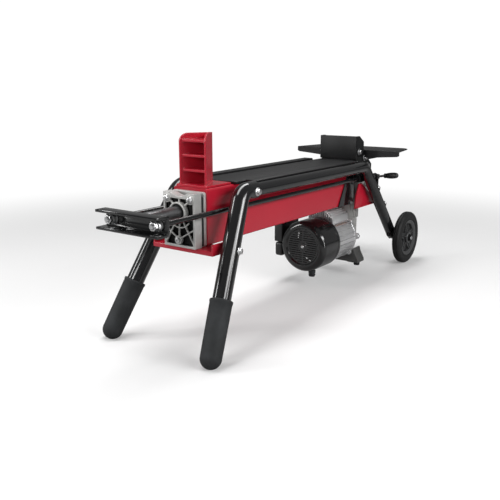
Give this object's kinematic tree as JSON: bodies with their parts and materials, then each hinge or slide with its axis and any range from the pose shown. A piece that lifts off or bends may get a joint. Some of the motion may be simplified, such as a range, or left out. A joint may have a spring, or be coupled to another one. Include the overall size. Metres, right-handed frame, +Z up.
{
  "type": "log splitter",
  "caption": "Electric hydraulic log splitter: beam with fixed wedge, rod-pulled pusher and tray, tubular rails and legs, transport wheels and a slung motor with gear pump.",
  "frame": {"origin": "on the ground, halfway along and across the machine's bounding box", "axes": "+X runs along the beam from the wedge end to the wheel end, +Z is up, +Y is the machine's left side when looking along +X"},
  "size_m": [1.0152, 0.29, 0.3903],
  "materials": {
    "red_enamel": "gloss crimson enamel on steel",
    "black_enamel": "gloss black enamel on steel",
    "cast_aluminium": "light grey die casting",
    "bright_steel": "ground bright steel",
    "zinc_plate": "bright zinc-plated steel",
    "black_rubber": "matt black rubber",
    "black_plastic": "semi-gloss black moulding",
    "copper_windings": "lacquered copper windings in a steel core",
    "green_button": "green plastic"
  },
  "bodies": {
    "frame": {"tank_beam": "red_enamel", "bed_plate": "black_enamel", "side_guard_left": "black_enamel", "side_guard_right": "black_enamel", "front_cap": "cast_aluminium", "rod_gland": "black_rubber", "front_gasket": "black_rubber", "front_flange": "cast_aluminium", "rear_gasket": "black_rubber", "cylinder_tube": "bright_steel", "valve_block": "cast_aluminium", "wedge": "red_enamel", "rail_left": "black_enamel", "rail_right": "black_enamel", "cradle_left": "black_enamel", "cradle_right": "black_enamel", "front_leg_left": "black_enamel", "front_leg_right": "black_enamel", "foot_grip_left": "black_rubber", "foot_grip_right": "black_rubber", "front_saddle": "red_enamel", "rear_saddle": "red_enamel", "axle_left": "bright_steel", "axle_right": "bright_steel", "fan_cover": "black_plastic", "motor_housing": "cast_aluminium", "end_bell": "cast_aluminium", "bearing_front": "bright_steel", "bearing_rear": "bright_steel", "stator": "copper_windings", "pump_housing": "cast_aluminium", "pump_cover": "cast_aluminium", "foot_bracket": "cast_aluminium", "rubber_foot_left": "black_rubber", "rubber_foot_right": "black_rubber", "rubber_foot_front": "black_rubber", "switch_box": "black_plastic", "capacitor_box": "black_plastic", "lever_bracket": "bright_steel"},
    "ram": {"piston_rod": "bright_steel", "piston": "bright_steel", "crossbar": "black_enamel", "tie_rod_left": "black_enamel", "tie_rod_right": "black_enamel", "tie_nut_left": "zinc_plate", "tie_nut_right": "zinc_plate", "pusher": "black_enamel", "rear_tray": "black_enamel"},
    "wheel_left": {"tyre_left": "black_rubber", "hub_left": "black_plastic"},
    "wheel_right": {"tyre_right": "black_rubber", "hub_right": "black_plastic"},
    "rotor": {"rotor_shaft": "bright_steel", "cooling_fan": "black_plastic", "pump_drive_gear": "bright_steel"},
    "driven_gear": {"pump_driven_gear": "bright_steel"},
    "lever": {"control_lever": "black_plastic", "lever_grip": "black_plastic"},
    "spool": {"valve_spool": "bright_steel"},
    "button": {"start_button": "green_button"}
  },
  "joints": [
    {"name": "ram_slide", "type": "slide", "parent": "frame", "child": "ram", "axis": [-1, 0, 0], "range_m": [-0.012, 0.36]},
    {"name": "wheel_left_spin", "type": "hinge", "parent": "frame", "child": "wheel_left", "pos_m": [0.4368, 0.10475, 0.0708], "axis": [0, 1, 0], "continuous": true},
    {"name": "wheel_right_spin", "type": "hinge", "parent": "frame", "child": "wheel_right", "pos_m": [0.4368, -0.10475, 0.0708], "axis": [0, 1, 0], "continuous": true},
    {"name": "rotor_spin", "type": "hinge", "parent": "frame", "child": "rotor", "pos_m": [0.1591, 0, 0.1011], "axis": [1, 0, 0], "continuous": true},
    {"name": "driven_gear_spin", "type": "hinge", "parent": "frame", "child": "driven_gear", "pos_m": [0.257, 0, 0.1261], "axis": [1, 0, 0], "continuous": true},
    {"name": "lever_tilt", "type": "hinge", "parent": "frame", "child": "lever", "pos_m": [0.3098, -0.0605, 0.249], "axis": [1, 0, 0], "range_deg": [0, 12], "stiffness_Nm_per_rad": 0.8},
    {"name": "spool_slide", "type": "slide", "parent": "frame", "child": "spool", "axis": [0, 1, 0], "range_m": [0, 0.004]},
    {"name": "button_press", "type": "slide", "parent": "frame", "child": "button", "axis": [-1, 0, 0], "range_m": [0, 0.003], "stiffness_N_per_m": 300}
  ],
  "couplings": [
    {"joint": "driven_gear_spin", "follows": "rotor_spin", "ratio": -1},
    {"joint": "spool_slide", "follows": "lever_tilt", "m_per_rad": 0.018}
  ]
}
